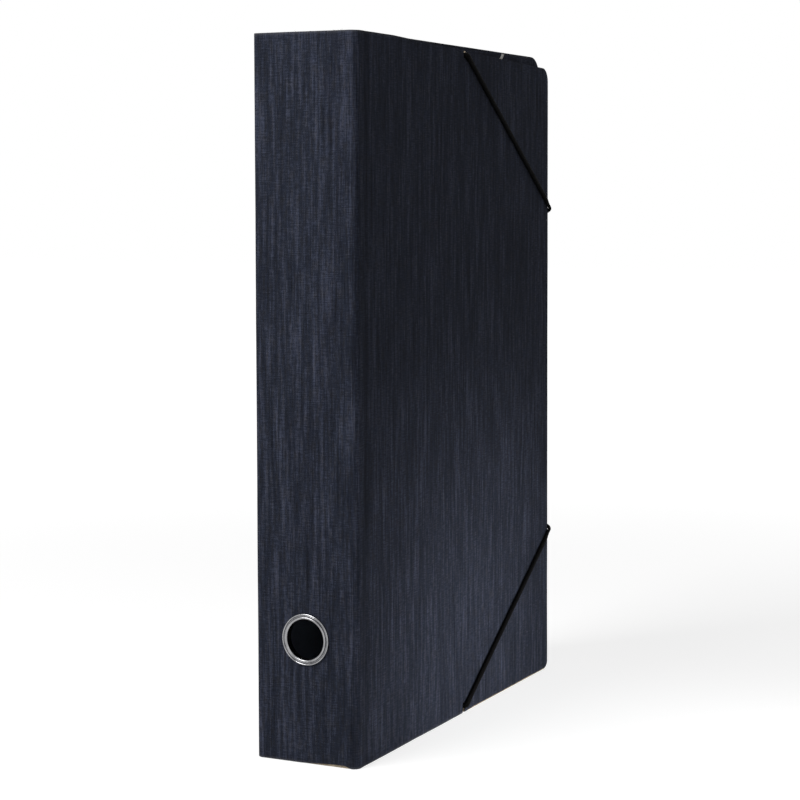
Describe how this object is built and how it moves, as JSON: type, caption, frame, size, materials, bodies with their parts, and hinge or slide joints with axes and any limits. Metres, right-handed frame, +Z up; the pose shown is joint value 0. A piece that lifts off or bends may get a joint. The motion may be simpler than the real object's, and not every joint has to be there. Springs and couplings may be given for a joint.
{
  "type": "document storage box",
  "caption": "Upright cloth-covered document box with a finger ring in its spine, a cover hinged on a cloth crease and elastic corner bands.",
  "frame": {"origin": "on the floor, under the middle of the whole box with its ring and bands", "axes": "+Z up along the spine, +X towards the front cover, -Y towards the spine, +Y towards the fore-edge"},
  "size_m": [0.0577, 0.2408, 0.345],
  "materials": {
    "bookcloth": "slub woven bookcloth, matte",
    "case_board": "raw millboard",
    "tray_board": "white box board",
    "lining_paper": "smooth blue-grey paper",
    "paper_tape": "white paper tape",
    "ring_metal": "polished nickel",
    "plain_metal": "plain zinc",
    "elastic": "braided elastic cord"
  },
  "bodies": {
    "tray": {"back_board": "case_board", "back_cloth": "bookcloth", "tray_base": "tray_board", "top_wall": "tray_board", "bottom_wall": "tray_board", "fore_edge_wall": "tray_board", "top_lip": "tray_board", "bottom_lip": "tray_board", "fore_edge_lip": "tray_board", "top_wrap": "bookcloth", "bottom_wrap": "bookcloth", "fore_edge_wrap": "bookcloth", "tray_lining": "lining_paper", "lip_tapes": "paper_tape", "band_end_caps": "plain_metal", "top_band": "elastic", "bottom_band": "elastic"},
    "spine": {"spine_board": "case_board", "spine_cloth": "bookcloth", "spine_lining": "lining_paper", "finger_ring": "ring_metal", "ring_washer": "plain_metal", "back_hinge_cloth": "bookcloth"},
    "front_cover": {"front_board": "case_board", "front_cloth": "bookcloth", "front_lining": "lining_paper", "front_hinge_cloth": "bookcloth"}
  },
  "joints": [
    {"name": "spine_hinge", "type": "hinge", "parent": "tray", "child": "spine", "pos_m": [-0.02785, -0.11816, 0], "axis": [0, 0, -1], "range_deg": [0, 90], "deforming": ["back_hinge_cloth"]},
    {"name": "cover_hinge", "type": "hinge", "parent": "spine", "child": "front_cover", "pos_m": [0.02515, -0.11816, 0], "axis": [0, 0, -1], "range_deg": [0, 180], "deforming": ["front_hinge_cloth", "top_band", "bottom_band"]}
  ]
}
